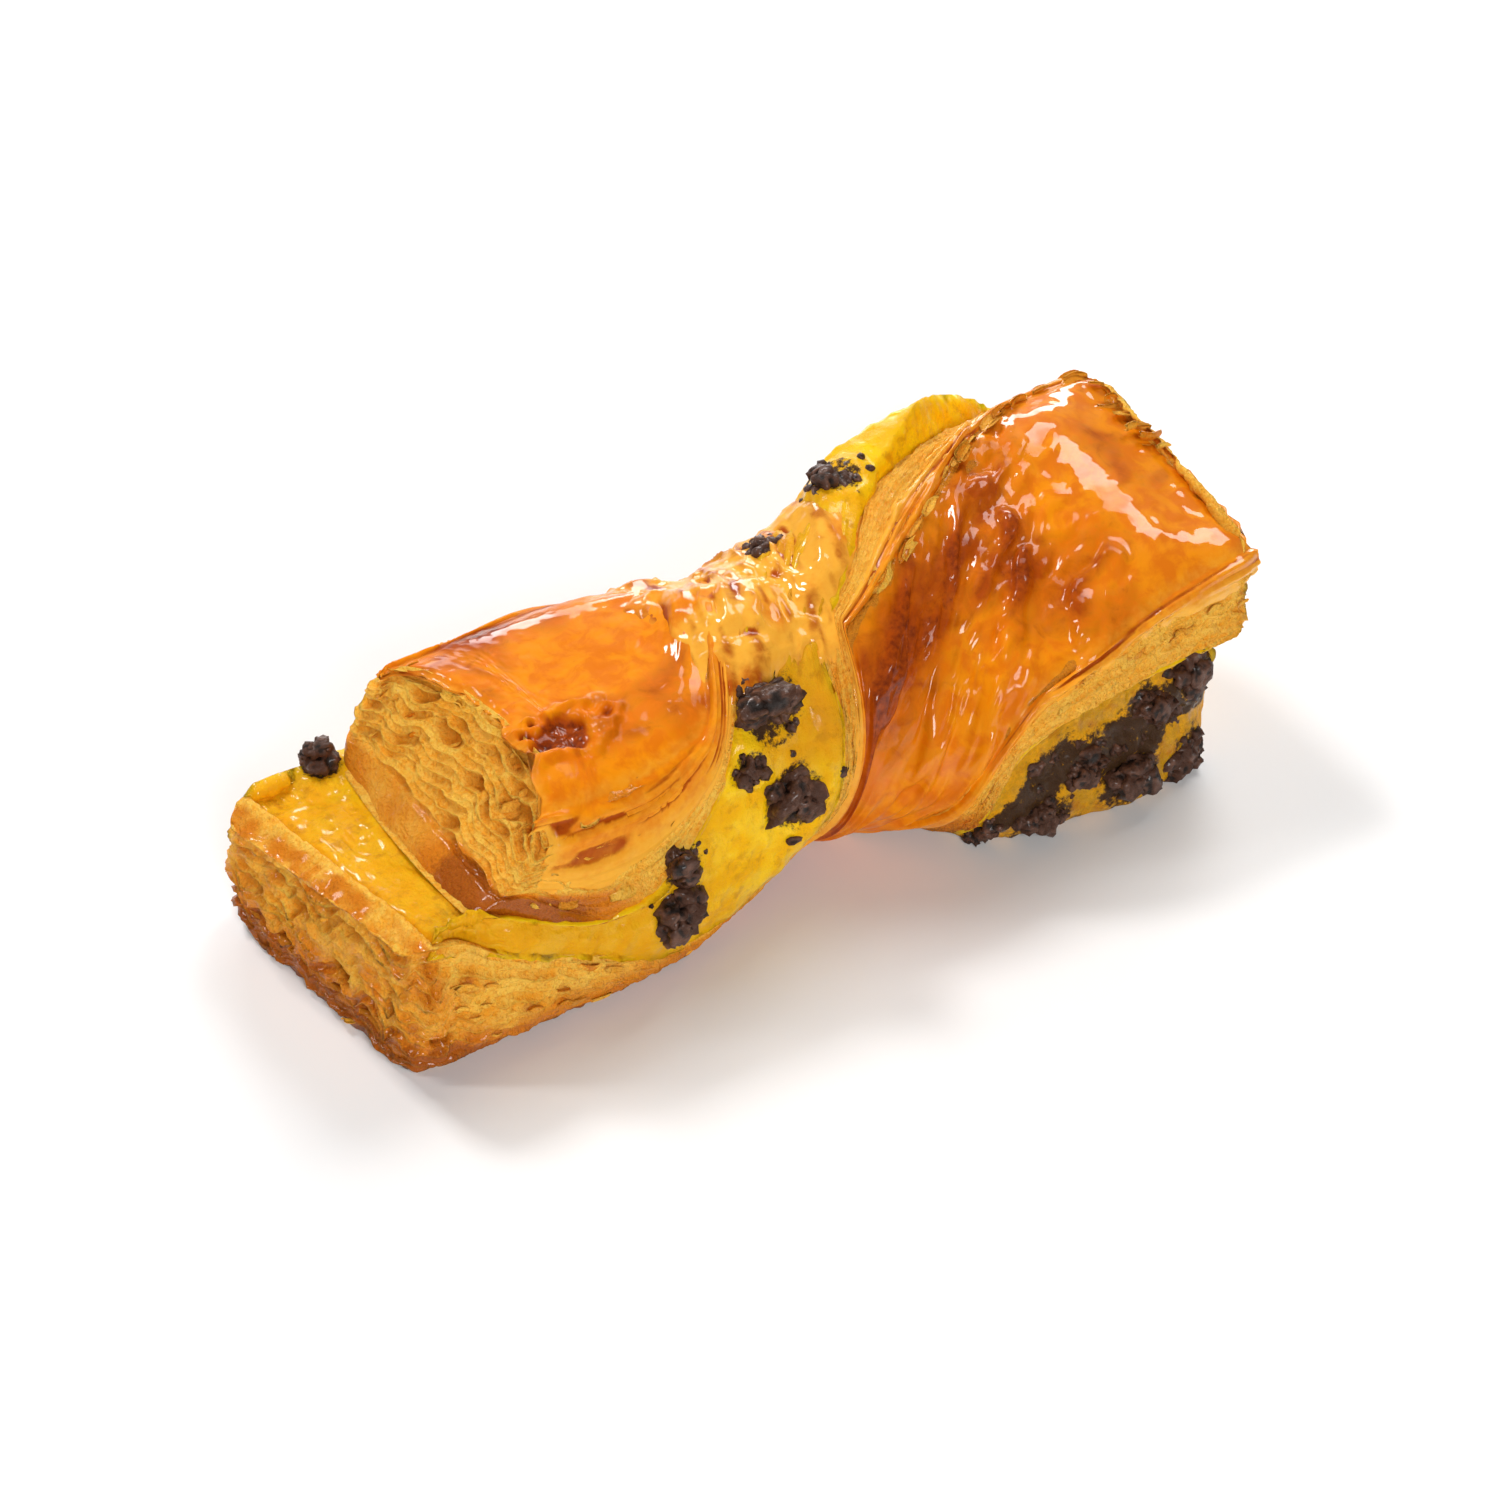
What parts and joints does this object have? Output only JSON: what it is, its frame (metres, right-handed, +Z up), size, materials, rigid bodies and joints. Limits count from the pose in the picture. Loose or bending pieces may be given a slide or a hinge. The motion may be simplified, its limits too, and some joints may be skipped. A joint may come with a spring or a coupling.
{
  "type": "custard and chocolate danish twist",
  "caption": "Baked danish pastry twist: two layers of laminated dough with a custard filling, turned half round its length, with chocolate drops in the open sides.",
  "frame": {"origin": "bottom centre of the whole pastry's bounding box, on the surface that it lies on", "axes": "+X along the twist from the stepped left end to the right end, +Z up, -Y to the front of the picture"},
  "size_m": [0.134, 0.0513, 0.0438],
  "materials": {
    "dough": "flaky baked dough, egg-glazed and glossy on its browned skin, matt on its pale torn sides",
    "custard": "baked custard, moist and glossy, lumpy, browned where it is thin",
    "chocolate": "baked dark chocolate drops, dull and crumbly with small glossy spots"
  },
  "bodies": {
    "root": {"dough_lower": "dough", "dough_upper": "dough", "custard": "custard", "chocolate_01": "chocolate", "chocolate_02": "chocolate", "chocolate_03": "chocolate", "chocolate_04": "chocolate", "chocolate_05": "chocolate", "chocolate_06": "chocolate", "chocolate_07": "chocolate", "chocolate_08": "chocolate", "chocolate_09": "chocolate", "chocolate_10": "chocolate", "chocolate_11": "chocolate", "chocolate_12": "chocolate", "chocolate_13": "chocolate", "chocolate_14": "chocolate"}
  },
  "joints": []
}
